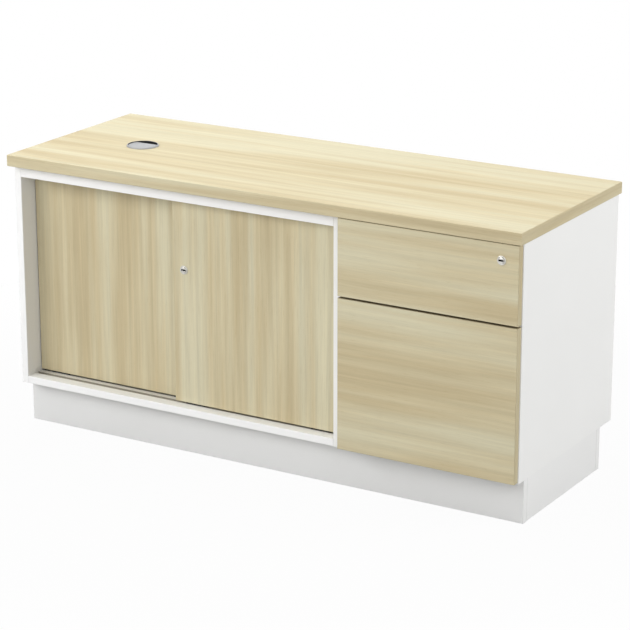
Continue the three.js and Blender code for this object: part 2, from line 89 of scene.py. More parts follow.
class Shader:
    """A node material under construction, with one Principled surface on Object coordinates."""

    # The share of a normal along an axis at which a face starts to be square to it, and wholly is
    SQUARE_ON: Span = (0.6, 0.8)

    def __init__(self, name: str, origin: Triple = ORIGIN) -> None:
        """Starts an empty node tree.

        Args:
            name: the material's name.
            origin: where its patterns start, in metres.
        """
        self.origin = origin
        self.material = bpy.data.materials.new(name)
        self.material.use_nodes = True
        self.nodes = self.material.node_tree.nodes
        self.links = self.material.node_tree.links
        self.surface = self.nodes["Principled BSDF"]
        self.place = self.nodes.new("ShaderNodeTexCoord")

    def feed(self, socket: Socket, value: Socket | float | tuple) -> None:
        """Sets a socket to a constant, or links it to another socket.

        Args:
            socket: the input.
            value: the constant, or the output that drives it.
        """
        if isinstance(value, bpy.types.NodeSocket):
            self.links.new(value, socket)
        else:
            socket.default_value = value

    def coordinates(self, scale: Triple, offset: Triple = ORIGIN) -> Socket:
        """Object coordinates, stretched and moved.

        Args:
            scale: cycles per metre on each axis.
            offset: a shift of the pattern, in cycles.

        Returns:
            The mapped vector.
        """
        mapping = self.nodes.new("ShaderNodeMapping")
        self.links.new(self.place.outputs["Object"], mapping.inputs["Vector"])
        mapping.inputs["Scale"].default_value = scale
        mapping.inputs["Location"].default_value = [
            shift - cycles * start for shift, cycles, start in zip(offset, scale, self.origin)]
        return mapping.outputs["Vector"]

    def noise(self, vector: Socket, detail: float, roughness: float, bend: float) -> Socket:
        """Smooth noise from 0 to 1.

        Args:
            vector: the coordinates, one cycle a unit.
            detail: octaves of finer noise.
            roughness: how strong the finer octaves are.
            bend: distortion of the pattern.

        Returns:
            The noise value.
        """
        texture = self.nodes.new("ShaderNodeTexNoise")
        self.links.new(vector, texture.inputs["Vector"])
        texture.inputs["Scale"].default_value = 1.0
        texture.inputs["Detail"].default_value = detail
        texture.inputs["Roughness"].default_value = roughness
        texture.inputs["Distortion"].default_value = bend
        return texture.outputs["Fac"]

    def math(self, operation: str, first: Socket | float, second: Socket | float = 0.0) -> Socket:
        """One arithmetic step.

        Args:
            operation: Blender's name for it.
            first: the first value.
            second: the second value, where the step has one.

        Returns:
            The result.
        """
        node = self.nodes.new("ShaderNodeMath")
        node.operation = operation
        self.feed(node.inputs[0], first)
        self.feed(node.inputs[1], second)
        return node.outputs["Value"]

    def span(self, value: Socket, source: Span, target: Span) -> Socket:
        """Maps one range of values onto another, clamped at its ends.

        Args:
            value: what is mapped.
            source: the range it comes from.
            target: the range it goes to.

        Returns:
            The mapped value.
        """
        node = self.nodes.new("ShaderNodeMapRange")
        node.clamp = True
        self.feed(node.inputs["Value"], value)
        for socket, number in zip(("From Min", "From Max", "To Min", "To Max"), (*source, *target)):
            node.inputs[socket].default_value = number
        return node.outputs["Result"]

    def grey(self, value: Socket) -> Socket:
        """A grey of a given lightness.

        Args:
            value: the lightness.

        Returns:
            The colour.
        """
        node = self.nodes.new("ShaderNodeCombineColor")
        for socket in node.inputs[:3]:
            self.feed(socket, value)
        return node.outputs["Color"]

    def ramp(self, value: Socket, stops: list[tuple[float, Colour]]) -> Socket:
        """Colours along a value.

        Args:
            value: where on the ramp, from 0 to 1.
            stops: place and colour of each stop, in order.

        Returns:
            The colour.
        """
        node = self.nodes.new("ShaderNodeValToRGB")
        self.links.new(value, node.inputs["Fac"])
        elements = node.color_ramp.elements
        while len(elements) < len(stops):
            elements.new(1.0)
        for element, (position, colour) in zip(elements, stops):
            element.position = position
            element.color = (*colour, 1.0)
        return node.outputs["Color"]

    def mix(self, share: Socket | float, first: Socket | Colour, second: Socket | Colour,
            blend: str = "MIX") -> Socket:
        """Mixes two colours.

        Args:
            share: how much of the second colour.
            first: the base colour.
            second: the colour over it.
            blend: Blender's name for the way of mixing.

        Returns:
            The mixed colour.
        """
        node = self.nodes.new("ShaderNodeMix")
        node.data_type = "RGBA"
        node.blend_type = blend
        colours = [socket for socket in node.inputs if socket.type == "RGBA"]
        self.feed(node.inputs["Factor"], share)
        for socket, colour in zip(colours, (first, second)):
            self.feed(socket, (*colour, 1.0) if isinstance(colour, tuple) else colour)
        return next(socket for socket in node.outputs if socket.type == "RGBA")

    def facing(self, axis: Axis) -> Socket:
        """Tells faces square to an axis from faces along it.

        Args:
            axis: the direction.

        Returns:
            1 on faces square to it, 0 on faces along it.
        """
        split = self.nodes.new("ShaderNodeSeparateXYZ")
        self.links.new(self.place.outputs["Normal"], split.inputs["Vector"])
        return self.span(self.math("ABSOLUTE", split.outputs[axis.value]), self.SQUARE_ON, (0.0, 1.0))

    def bump(self, height: Socket, strength: float, depth: float) -> None:
        """Gives the surface a fine relief.

        Args:
            height: the relief, from 0 to 1.
            strength: how much of it shows.
            depth: its depth in metres.
        """
        node = self.nodes.new("ShaderNodeBump")
        node.inputs["Strength"].default_value = strength
        node.inputs["Distance"].default_value = depth
        self.links.new(height, node.inputs["Height"])
        self.links.new(node.outputs["Normal"], self.surface.inputs["Normal"])

    def finish(self, colour: Socket, roughness: Socket, metallic: float = 0.0,
               specular: float = 0.5) -> bpy.types.Material:
        """Sets the surface's main values.

        Args:
            colour: the base colour.
            roughness: the roughness.
            metallic: 1 for bare metal.
            specular: the specular level.

        Returns:
            The finished material.
        """
        self.links.new(colour, self.surface.inputs["Base Color"])
        self.links.new(roughness, self.surface.inputs["Roughness"])
        self.surface.inputs["Metallic"].default_value = metallic
        self.surface.inputs["Specular IOR Level"].default_value = specular
        return self.material


@dataclass(frozen=True)
class Layer:
    """One layer of noise, with its cycles per metre along an axis and across it."""

    along: float
    across: float
    detail: float = 2.0
    roughness: float = 0.5
    bend: float = 0.0

    def value(self, shader: Shader, axis: Axis = Axis.X, shift: Triple = ORIGIN) -> Socket:
        """Lays the noise into a material.

        Args:
            shader: the material.
            axis: the direction in which it is drawn out.
            shift: a shift of the pattern, in cycles.

        Returns:
            The noise, from 0 to 1.
        """
        vector = shader.coordinates(axis.scale(self.along, self.across), shift)
        return shader.noise(vector, self.detail, self.roughness, self.bend)


@dataclass(frozen=True)
class WoodGrain:
    """A pale straight-grained wood decor: broad bands, streaks, fine fibres and short pores."""

    tan: Colour = (0.562, 0.472, 0.292)
    straw: Colour = (0.624, 0.546, 0.358)
    pale: Colour = (0.660, 0.609, 0.431)
    pore: Colour = (0.80, 0.74, 0.64)
    bands: Layer = Layer(0.9, 15.0, bend=0.3)
    tones: Layer = Layer(1.6, 34.0, bend=0.2)
    lines: Layer = Layer(3.0, 130.0, detail=3.0, roughness=0.6)
    fibres: Layer = Layer(9.0, 520.0, roughness=0.6)
    pores: Layer = Layer(34.0, 1500.0, detail=1.0)
    band_share: float = 0.55
    tone_stops: Triple = (0.39, 0.50, 0.61)
    line_shade: Span = (0.93, 1.045)
    fibre_shade: Span = (0.965, 1.03)
    pore_span: Span = (0.64, 0.72)
    pore_share: float = 0.5
    cut_spread: Triple = (1.0, 2.3, 3.7)
    end_cut: float = 5.0
    side_cut: float = 13.0
    relief: float = 0.12
    relief_depth: float = 0.0004
    sheen: Span = (0.50, 0.62)
    specular: float = 0.2

    def streaks(self, shader: Shader, grain: Axis, cut: float) -> tuple[Socket, Socket]:
        """The decor's colour and its fibres.

        Args:
            shader: the material it goes into.
            grain: the direction of the grain.
            cut: a shift that gives each board its own cut of the decor.

        Returns:
            The colour, and the height of the fibres.
        """
        shift = tuple(cut * spread for spread in self.cut_spread)
        bands, tones, lines, fibres, pores = (
            layer.value(shader, grain, shift)
            for layer in (self.bands, self.tones, self.lines, self.fibres, self.pores))
        tone = shader.math("ADD", shader.math("MULTIPLY", bands, self.band_share),
                           shader.math("MULTIPLY", tones, 1.0 - self.band_share))
        colour = shader.ramp(tone, list(zip(self.tone_stops, (self.tan, self.straw, self.pale))))
        line_shade = shader.span(lines, MOST_NOISE, self.line_shade)
        fibre_shade = shader.span(fibres, MOST_NOISE, self.fibre_shade)
        shade = shader.grey(shader.math("MULTIPLY", line_shade, fibre_shade))
        colour = shader.mix(1.0, colour, shade, "MULTIPLY")
        pore_share = shader.span(pores, self.pore_span, (0.0, self.pore_share))
        return shader.mix(pore_share, colour, self.pore, "MULTIPLY"), fibres

    def material(self, name: str, grain: Axis, ends: Axis, cut: float, origin: Triple = ORIGIN,
                 end_tint: Colour = UNTINTED, side_tint: Colour = UNTINTED) -> bpy.types.Material:
        """The decor on one board, whose edges are strips with a cut of their own and grain along them.

        Args:
            name: the material's name.
            grain: the direction of the grain on the board's faces.
            ends: the direction of the grain on the edges across the board's ends.
            cut: the board's own cut of the decor.
            origin: where that cut starts, in metres.
            end_tint: painted shade, multiplied into the decor's colour on the end edges.
            side_tint: painted shade, the same for the edges along the grain.

        Returns:
            The material.
        """
        shader = Shader(name, origin)
        face, fibres = self.streaks(shader, grain, cut)
        end, _ = self.streaks(shader, ends, cut + self.end_cut)
        side, _ = self.streaks(shader, grain, cut + self.side_cut)
        # Painted shade multiplied into the end edges and the edges along the grain
        end = shader.mix(1.0, end, end_tint, "MULTIPLY")
        side = shader.mix(1.0, side, side_tint, "MULTIPLY")
        colour = shader.mix(shader.facing(grain), shader.mix(shader.facing(ends), face, side), end)
        shader.bump(fibres, self.relief, self.relief_depth)
        return shader.finish(colour, shader.span(fibres, MOST_NOISE, self.sheen), specular=self.specular)


@dataclass(frozen=True)
class CoatedBoard:
    """A coated board in one colour: faint clouding, and the fine pebbled skin of melamine."""

    name: str
    colour: Colour
    shade: Colour
    roughness: float = 0.45
    skin: Layer = Layer(700.0, 700.0)
    # Painted shade, multiplied into the colour on faces that do not face the front or the back
    face_tint: Colour = UNTINTED
    cloud: Layer = Layer(2.2, 2.2, detail=3.0)
    cloud_stops: Span = (0.35, 0.62)
    smoother: float = 0.05
    rougher: float = 0.07
    relief: float = 0.06
    relief_depth: float = 0.0003
    specular: float = 0.4

    def material(self) -> bpy.types.Material:
        """Makes the coated surface, darker where it does not face the front or the back, as painted shade.

        Returns:
            The material.
        """
        shader = Shader(self.name)
        skin = self.skin.value(shader)
        cloud = self.cloud.value(shader)
        colour = shader.ramp(cloud, list(zip(self.cloud_stops, (self.shade, self.colour))))
        # Painted shade on every face that does not face the front or the back
        faces = shader.mix(1.0, colour, self.face_tint, "MULTIPLY")
        colour = shader.mix(shader.facing(Axis.Y), faces, colour)
        shader.bump(skin, self.relief, self.relief_depth)
        sheen = (self.roughness - self.smoother, self.roughness + self.rougher)
        return shader.finish(colour, shader.span(skin, MOST_NOISE, sheen), specular=self.specular)


@dataclass(frozen=True)
class MouldedPlastic:
    """A moulded plastic with a fine spark-eroded grain, or an extruded one with drawn lines."""

    name: str
    colour: Colour
    shade: Colour
    roughness: float
    grain: Layer = Layer(900.0, 900.0)
    # Painted shade, multiplied into the colour on upright walls
    wall_tint: Colour = UNTINTED
    specular: float = 0.5
    cloud: Layer = Layer(9.0, 9.0)
    cloud_stops: Span = (0.35, 0.65)
    unevenness: float = 0.06
    relief: float = 0.10
    relief_depth: float = 0.0002

    def material(self) -> bpy.types.Material:
        """Makes the moulded surface, with painted shade on upright walls.

        Returns:
            The material.
        """
        shader = Shader(self.name)
        grain = self.grain.value(shader)
        cloud = self.cloud.value(shader)
        colour = shader.ramp(cloud, list(zip(self.cloud_stops, (self.shade, self.colour))))
        # Painted shade on the upright walls
        shaded_walls = shader.mix(1.0, colour, self.wall_tint, "MULTIPLY")
        colour = shader.mix(shader.facing(Axis.Z), shaded_walls, colour)
        shader.bump(grain, self.relief, self.relief_depth)
        sheen = (self.roughness - self.unevenness, self.roughness + self.unevenness)
        return shader.finish(colour, shader.span(grain, MOST_NOISE, sheen), specular=self.specular)


@dataclass(frozen=True)
class PlatedMetal:
    """A plated metal with a cloudy spangle, and fine lines where it was drawn along an axis."""

    name: str
    colour: Colour
    shade: Colour
    roughness: float
    lines: Layer = Layer(1400.0, 1400.0)
    drawn: Axis = Axis.X
    spangle: Layer = Layer(60.0, 60.0, roughness=0.6)
    spangle_stops: Span = (0.35, 0.65)
    unevenness: float = 0.05
    relief: float = 0.05
    relief_depth: float = 0.0001

    def material(self) -> bpy.types.Material:
        """Makes the plated surface.

        Returns:
            The material.
        """
        shader = Shader(self.name)
        lines = self.lines.value(shader, self.drawn)
        spangle = self.spangle.value(shader)
        colour = shader.ramp(spangle, list(zip(self.spangle_stops, (self.shade, self.colour))))
        shader.bump(lines, self.relief, self.relief_depth)
        sheen = (self.roughness - self.unevenness, self.roughness + self.unevenness)
        return shader.finish(colour, shader.span(spangle, MOST_NOISE, sheen), metallic=1.0)


class Finishes:
    """Every finish on the credenza, made once, apart from the wood, which each board cuts for itself."""

    def __init__(self) -> None:
        """Makes the materials."""
        self.wood = WoodGrain()
        self.door_wood = WoodGrain(line_shade=(0.90, 1.062))
        # The white boards are darkened on all faces but the front and back ones: painted shade
        self.white = CoatedBoard(
            "white_board", (0.95, 0.95, 0.945), (0.925, 0.925, 0.92),
            face_tint=(0.87, 0.87, 0.86)).material()
        # The plinth is the carcass's white; its greyer colour is painted shade under the overhang
        self.plinth = CoatedBoard("plinth_board", (0.81, 0.81, 0.80), (0.785, 0.785, 0.775)).material()
        self.box = CoatedBoard(
            "drawer_box_board", (0.80, 0.785, 0.74), (0.76, 0.745, 0.70), 0.55,
            Layer(500.0, 500.0)).material()
        # Painted shade, dark, on the upright walls of the track's grooves
        self.track = MouldedPlastic(
            "track_plastic", (0.72, 0.70, 0.64), (0.68, 0.66, 0.60), 0.42, Layer(6.0, 900.0),
            (0.46, 0.44, 0.40)).material()
        self.glide = MouldedPlastic(
            "glide_plastic", (0.030, 0.030, 0.031), (0.022, 0.022, 0.023), 0.45).material()
        # Painted shade on the grommet's upright walls
        self.silver = MouldedPlastic(
            "grommet_silver", (0.39, 0.394, 0.40), (0.352, 0.356, 0.362), 0.38,
            wall_tint=(0.86, 0.86, 0.87)).material()
        # Black that stands for shade: painted shade inside the grommet bore, the keyways and the screw
        # recesses
        self.black = MouldedPlastic(
            "painted_shade_black", (0.016, 0.016, 0.017), (0.012, 0.012, 0.013), 0.5, specular=0.1).material()
        self.steel = PlatedMetal(
            "runner_steel", (0.66, 0.68, 0.70), (0.56, 0.58, 0.60), 0.34, Layer(8.0, 1600.0),
            Axis.Y).material()
        self.nickel = PlatedMetal(
            "nickel_plate", (0.62, 0.61, 0.575), (0.555, 0.545, 0.51), 0.24).material()
        self.satin = PlatedMetal(
            "satin_nickel", (0.60, 0.585, 0.54), (0.54, 0.525, 0.48), 0.32).material()


def dress(nodes: list[str], material: bpy.types.Material) -> None:
    """Gives CAD nodes a finish.

    Args:
        nodes: the nodes' names.
        material: the finish.
    """
    for name in nodes:
        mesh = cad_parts[name].data
        mesh.materials.clear()
        mesh.materials.append(material)
        log.info("dressed %s in %s", name, material.name)


def corners_mm(node: str) -> tuple[Vector, Vector]:
    """A CAD node's lowest and highest corners in millimetres."""
    low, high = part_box(node)
    return low / MM, high / MM


def corners_of(geometry: list) -> list[bmesh.types.BMVert]:
    """The corners among what a mesh operator returns."""
    return [item for item in geometry if isinstance(item, bmesh.types.BMVert)]


def soften(bm: bmesh.types.BMesh, radius: float, segments: int = 3) -> None:
    """Rounds every sharp edge of a closed mesh.

    Args:
        bm: the mesh.
        radius: the width of the rounding in millimetres.
        segments: the steps across it.
    """
    bm.normal_update()
    sharp = [edge for edge in bm.edges if edge.is_manifold and edge.calc_face_angle() > SHARP_ANGLE]
    bmesh.ops.bevel(bm, geom=sharp, offset=radius, offset_type="OFFSET", affect="EDGES", segments=segments,
                    profile=0.5, material=-1, clamp_overlap=True)


def turned(profile: list[tuple[float, float]], steps: int = ROUND_STEPS) -> bmesh.types.BMesh:
    """Turns a closed profile about the Z axis.

    Args:
        profile: radius and height of each corner, in millimetres.
        steps: the sides of the full turn.

    Returns:
        The closed mesh, with its normals outwards.
    """
    bm = bmesh.new()
    corners = [bm.verts.new((radius, 0.0, height)) for radius, height in profile]
    edges = [bm.edges.new(pair) for pair in zip(corners, corners[1:] + corners[:1])]
    bmesh.ops.spin(bm, geom=corners + edges, cent=(0, 0, 0), axis=(0, 0, 1), dvec=(0, 0, 0),
                   angle=2 * math.pi, steps=steps, use_merge=True, use_duplicate=False)
    bmesh.ops.remove_doubles(bm, verts=bm.verts, dist=SAME_PLACE)
    bmesh.ops.dissolve_degenerate(bm, dist=NO_LENGTH, edges=bm.edges)
    bmesh.ops.recalc_face_normals(bm, faces=bm.faces)
    return bm


def piece(name: str, bm: bmesh.types.BMesh, place: Matrix, materials: tuple[bpy.types.Material, ...],
          slot: str, body: str, *nodes: str) -> None:
    """Makes a finished object of a mesh in millimetres and hangs it on its body.

    Args:
        name: the piece's name.
        bm: its mesh, which is freed.
        place: where the mesh goes in the shared frame, in millimetres.
        materials: its finish, and after it the finish of faces whose index says so.
        slot: the record's slot of the first finish; not used.
        body: the body it rides on.
        nodes: the CAD nodes it stands for.
    """
    bm.transform(Matrix.Scale(MM, 4) @ place)
    for face in bm.faces:
        face.smooth = True
    mesh = bpy.data.meshes.new(name)
    bm.to_mesh(mesh)
    bm.free()
    mesh.set_sharp_from_angle(angle=SHARP_ANGLE)
    for material in materials:
        mesh.materials.append(material)
    made = bpy.data.objects.new(name, mesh)
    bpy.context.scene.collection.objects.link(made)
    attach(made, body)
    if nodes:
        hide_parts(*nodes)
    log.info("built %s on %s", name, body)


@dataclass
class Worktop:
    """The worktop with its cable grommet: a turned liner, and a cap with a segment cut off for cables."""

    liner_radius: float = 32.75
    seat_radius: float = 31.5
    bore_radius: float = 30.0
    rim_radius: float = 32.5
    flange_radius: float = 34.5
    flange_height: float = 3.0
    flange_edge: float = 0.75
    cap_radius: float = 31.25
    cap_thickness: float = 3.0
    cap_recess: float = 1.75
    cap_clearance: float = 0.25
    cap_chord: float = 16.5
    rounding: float = 0.25
    black_margin: float = 0.1
    decor_cut: float = 1.7
    # Painted shade: the end edges a little darker and cooler
    end_tint: Colour = (0.90, 0.91, 0.92)

    def build(self, finishes: Finishes) -> None:
        """Turns the liner and cuts the cap.

        Args:
            finishes: the credenza's finishes.
        """
        low, high = corners_mm("grommet_liner")
        centre = (low + high) / 2
        top = high.z
        under = top - self.flange_height
        ledge = top - self.cap_recess - self.cap_thickness - self.cap_clearance
        liner = turned([
            (self.bore_radius, low.z), (self.liner_radius, low.z), (self.liner_radius, under),
            (self.flange_radius, under), (self.flange_radius, under + self.flange_edge),
            (self.rim_radius, top), (self.seat_radius, top), (self.seat_radius, ledge),
            (self.bore_radius, ledge),
        ])
        soften(liner, self.rounding)
        # Faces inside the bore below the rim take the black finish: painted shade in the hole
        for face in liner.faces:
            middle = face.calc_center_median()
            inside = middle.xy.length < self.seat_radius + self.black_margin
            face.material_index = int(inside and middle.z < top - self.rounding)
        place = Matrix.Translation((centre.x, centre.y, 0.0))
        piece("cable_liner", liner, place, (finishes.silver, finishes.black), "grommet_silver", "carcass",
              "grommet_liner")

        cap = bmesh.new()
        bmesh.ops.create_cone(cap, cap_ends=True, segments=ROUND_STEPS, radius1=self.cap_radius,
                              radius2=self.cap_radius, depth=self.cap_thickness)
        bmesh.ops.bisect_plane(cap, geom=cap.verts[:] + cap.edges[:] + cap.faces[:], dist=SAME_PLACE,
                               plane_co=(0, self.cap_chord, 0), plane_no=(0, 1, 0), clear_outer=True)
        bmesh.ops.holes_fill(cap, edges=[edge for edge in cap.edges if edge.is_boundary])
        soften(cap, self.rounding)
        place = Matrix.Translation((centre.x, centre.y, top - self.cap_recess - self.cap_thickness / 2))
        piece("cable_cap", cap, place, (finishes.silver,), "grommet_silver", "grommet_cap", "grommet_cap")

    def dress(self, finishes: Finishes) -> None:
        """Gives the board its grain along the length.

        Args:
            finishes: the credenza's finishes.
        """
        wood = finishes.wood.material("wood_grain_worktop", Axis.X, Axis.Y, self.decor_cut,
                                      end_tint=self.end_tint)
        dress(["worktop"], wood)


@dataclass
class KeyLock:
    """A round key lock on a board's front: a flanged housing and a plug with a keyway."""

    name: str
    housing_body: str
    plug_body: str
    plug_length: float
    plug_radius: float = 6.5
    flange_radius: float = 9.5
    flange_height: float = 1.5
    body_radius: float = 8.0
    bore_radius: float = 6.75
    dome: float = 1.0
    dome_steps: int = 5
    keyway_width: float = 11.0
    keyway_height: float = 3.5
    keyway_depth: float = 6.0
    rounding: float = 0.35
    fine_rounding: float = 0.21
    black_margin: float = 0.05

    def place(self, node: str) -> Matrix:
        """Puts local Z on the lock's axis, out of the front, from a node's front face.

        Args:
            node: the node.

        Returns:
            The place, in millimetres.
        """
        low, high = corners_mm(f"{self.name}_housing")
        centre = (low + high) / 2
        front = corners_mm(node)[0].y
        return Matrix.Translation((centre.x, front, centre.z)) @ Matrix.Rotation(math.pi / 2, 4, "X")

    def build_housing(self, finishes: Finishes) -> None:
        """Turns the housing, whose flange has a rounded front.

        Args:
            finishes: the credenza's finishes.
        """
        node = f"{self.name}_housing"
        low, high = corners_mm(node)
        rear = low.y - high.y
        turns = [math.pi / 2 * step / self.dome_steps for step in range(self.dome_steps + 1)]
        dome = [(self.flange_radius - self.dome * (1 - math.sin(turn)), -self.dome * (1 - math.cos(turn)))
                for turn in turns]
        housing = turned([
            (self.bore_radius, 0.0), *dome, (self.flange_radius, -self.flange_height),
            (self.body_radius, -self.flange_height), (self.body_radius, rear), (self.bore_radius, rear),
        ])
        soften(housing, self.rounding)
        piece(f"{self.name}_rim", housing, self.place(node), (finishes.satin,), "nickel_plate",
              self.housing_body, node)

    def plug(self) -> bmesh.types.BMesh:
        """A round plug with a keyway sunk into its face.

        Returns:
            The mesh, with its face at height 0.
        """
        bm = bmesh.new()
        bmesh.ops.create_circle(bm, cap_ends=True, segments=ROUND_STEPS, radius=self.plug_radius)
        half_width, half_height = self.keyway_width / 2, self.keyway_height / 2
        for normal, reach in ((Vector((1, 0, 0)), half_width), (Vector((0, 1, 0)), half_height)):
            for side in (1.0, -1.0):
                bmesh.ops.bisect_plane(bm, geom=bm.verts[:] + bm.edges[:] + bm.faces[:], dist=SAME_PLACE,
                                       plane_co=normal * reach * side, plane_no=normal)
        slot = min(bm.faces, key=lambda face: face.calc_center_bounds().length)
        sunk = bmesh.ops.extrude_face_region(bm, geom=[slot])["geom"]
        bmesh.ops.translate(bm, vec=(0, 0, -self.keyway_depth), verts=corners_of(sunk))
        if slot.is_valid:
            bm.faces.remove(slot)
        rim = [edge for edge in bm.edges if edge.is_boundary]
        wall = bmesh.ops.extrude_edge_only(bm, edges=rim)["geom"]
        bmesh.ops.translate(bm, vec=(0, 0, -self.plug_length), verts=corners_of(wall))
        bmesh.ops.holes_fill(bm, edges=[edge for edge in bm.edges if edge.is_boundary])
        bmesh.ops.recalc_face_normals(bm, faces=bm.faces)
        soften(bm, self.fine_rounding, 2)
        # The keyway's inside takes the black finish: painted shade in the slot
        for face in bm.faces:
            middle = face.calc_center_median()
            across = abs(middle.x) < half_width + self.black_margin
            upright = abs(middle.y) < half_height + self.black_margin
            sunk_in = -self.keyway_depth - self.black_margin < middle.z < -self.fine_rounding
            face.material_index = int(across and upright and sunk_in)
        return bm


@dataclass
class DoorLock(KeyLock):
    """The front door's lock, whose plug throws a bolt into the rear door."""

    name: str = "door_lock"
    housing_body: str = "front_door"
    plug_body: str = "door_lock_plug"
    plug_length: float = 10.0
    guide_length: float = 4.0
    bolt_radius: float = 3.5

    def build(self, finishes: Finishes) -> None:
        """Turns the housing and the bolt, and cuts the plug.

        Args:
            finishes: the credenza's finishes.
        """
        self.build_housing(finishes)
        piece("door_lock_key_plug", self.plug(), self.place("door_lock_plug"),
              (finishes.nickel, finishes.black), "nickel_plate", self.plug_body, "door_lock_plug")
        low, high = corners_mm("door_lock_bolt")
        tip = low.y - high.y
        bolt = turned([
            (0.0, 0.0), (self.plug_radius, 0.0), (self.plug_radius, -self.guide_length),
            (self.bolt_radius, -self.guide_length), (self.bolt_radius, tip), (0.0, tip),
        ])
        soften(bolt, self.rounding)
        piece("door_lock_round_bolt", bolt, self.place("door_lock_bolt"), (finishes.nickel,),
              "nickel_plate", "door_lock_bolt", "door_lock_bolt")


@dataclass
class DrawerLock(KeyLock):
    """The pedestal's lock in the top drawer front, whose plug carries the cam pin of the locking bar."""

    name: str = "drawer_lock"
    housing_body: str = "top_drawer"
    plug_body: str = "drawer_lock_plug"
    plug_length: float = 28.75
    cam_thickness: float = 2.0
    cam_radius: float = 5.5
    cam_throw: float = 8.0
    pin_radius: float = 2.5
    pin_length: float = 7.0

    def build(self, finishes: Finishes) -> None:
        """Turns the housing, cuts the plug, and makes the cam plate and its pin.

        Args:
            finishes: the credenza's finishes.
        """
        self.build_housing(finishes)
        place = self.place("drawer_lock_plug")
        piece("drawer_lock_key_plug", self.plug(), place, (finishes.nickel, finishes.black), "nickel_plate",
              self.plug_body, "drawer_lock_plug")

        cam = bmesh.new()
        reach = Matrix.Translation((0.0, 0.0, -self.plug_length + self.cam_thickness / 2))
        for throw in (0.0, self.cam_throw):
            bmesh.ops.create_cone(cam, cap_ends=True, segments=ROUND_STEPS // 2, radius1=self.cam_radius,
                                  radius2=self.cam_radius, depth=self.cam_thickness,
                                  matrix=reach @ Matrix.Translation((throw, 0.0, 0.0)))
        hull = bmesh.ops.convex_hull(cam, input=cam.verts[:])
        spare = list({*hull["geom_interior"], *hull["geom_unused"]})
        bmesh.ops.delete(cam, geom=spare, context="VERTS")
        bmesh.ops.dissolve_limit(cam, angle_limit=math.radians(1), verts=cam.verts[:], edges=cam.edges[:])
        soften(cam, self.fine_rounding, 2)
        piece("drawer_lock_cam", cam, place, (finishes.nickel,), "nickel_plate", self.plug_body)

        pin = turned([
            (0.0, 0.0), (self.pin_radius, 0.0), (self.pin_radius, -self.pin_length),
            (0.0, -self.pin_length),
        ])
        soften(pin, self.rounding)
        tip = Matrix.Translation((self.cam_throw, 0.0, -self.plug_length))
        piece("drawer_lock_cam_pin", pin, place @ tip, (finishes.nickel,), "nickel_plate", self.plug_body)


@dataclass
class Cabinet:
    """The left carcass: white boards, a shelf on four pins, and twin groove tracks for the doors."""

    boards: tuple[str, ...] = ("left_side", "right_side", "bottom", "top", "back")
    tracks: tuple[str, ...] = ("bottom_track", "top_track")

    def dress(self, finishes: Finishes) -> None:
        """Finishes the boards, the shelf and its pins, and the tracks.

        Args:
            finishes: the credenza's finishes.
        """
        dress([f"cabinet_{board}" for board in self.boards] + ["shelf"], finishes.white)
        dress(list(self.tracks), finishes.track)
        pins = [f"shelf_pin_{depth}_{side}" for depth in ("front", "rear") for side in SIDES]
        dress(pins, finishes.nickel)


@dataclass
class SlidingDoor:
    """One sliding door with upright grain, its two glides and its two guides."""

    name: str
    decor_cut: float
    decor_start: float

    def dress(self, finishes: Finishes) -> None:
        """Finishes the leaf and its sliders.

        Args:
            finishes: the credenza's finishes.
        """
        wood = finishes.door_wood.material(f"wood_grain_{self.name}", Axis.Z, Axis.X, self.decor_cut,
                                           (self.decor_start, 0.0, 0.0))
        dress([self.name], wood)
        dress([f"{self.name}_{slider}_{side}" for slider in ("glide", "guide") for side in SIDES],
              finishes.glide)


@dataclass
class Pedestal:
    """The right carcass: white boards, the fixed and middle runner channels, and the locking bar."""

    boards: tuple[str, ...] = ("left_side", "right_side", "bottom", "top", "back")
    runners: tuple[str, ...] = ("top_runner_{}_fixed", "file_runner_{}_fixed", "file_runner_{}_middle")

    def dress(self, finishes: Finishes) -> None:
        """Finishes the boards, the runners and the locking bar.

        Args:
            finishes: the credenza's finishes.
        """
        dress([f"pedestal_{board}" for board in self.boards], finishes.white)
        dress([runner.format(side) for runner in self.runners for side in SIDES], finishes.steel)
        dress(["locking_bar"], finishes.steel)


@dataclass
class Drawers:
    """Both drawers: overlay fronts cut from one length of decor, coated boxes and their channels."""

    names: tuple[str, ...] = ("top", "file")
    box_boards: tuple[str, ...] = ("left_side", "right_side", "back", "bottom")
    decor_cut: float = 8.4
    # Painted shade: the end edges darker, and the top and bottom edges much darker as shade in the gaps
    # between the fronts
    end_tint: Colour = (0.80, 0.78, 0.74)
    side_tint: Colour = (0.44, 0.41, 0.36)

    def dress(self, finishes: Finishes) -> None:
        """Finishes the fronts, the boxes and the channels that ride on them.

        Args:
            finishes: the credenza's finishes.
        """
        wood = finishes.wood.material("wood_grain_drawers", Axis.X, Axis.Z, self.decor_cut,
                                      end_tint=self.end_tint, side_tint=self.side_tint)
        dress([f"{name}_drawer_front" for name in self.names], wood)
        dress([f"{name}_drawer_{board}" for name in self.names for board in self.box_boards], finishes.box)
        dress([f"{name}_runner_{side}_drawer" for name in self.names for side in SIDES], finishes.steel)


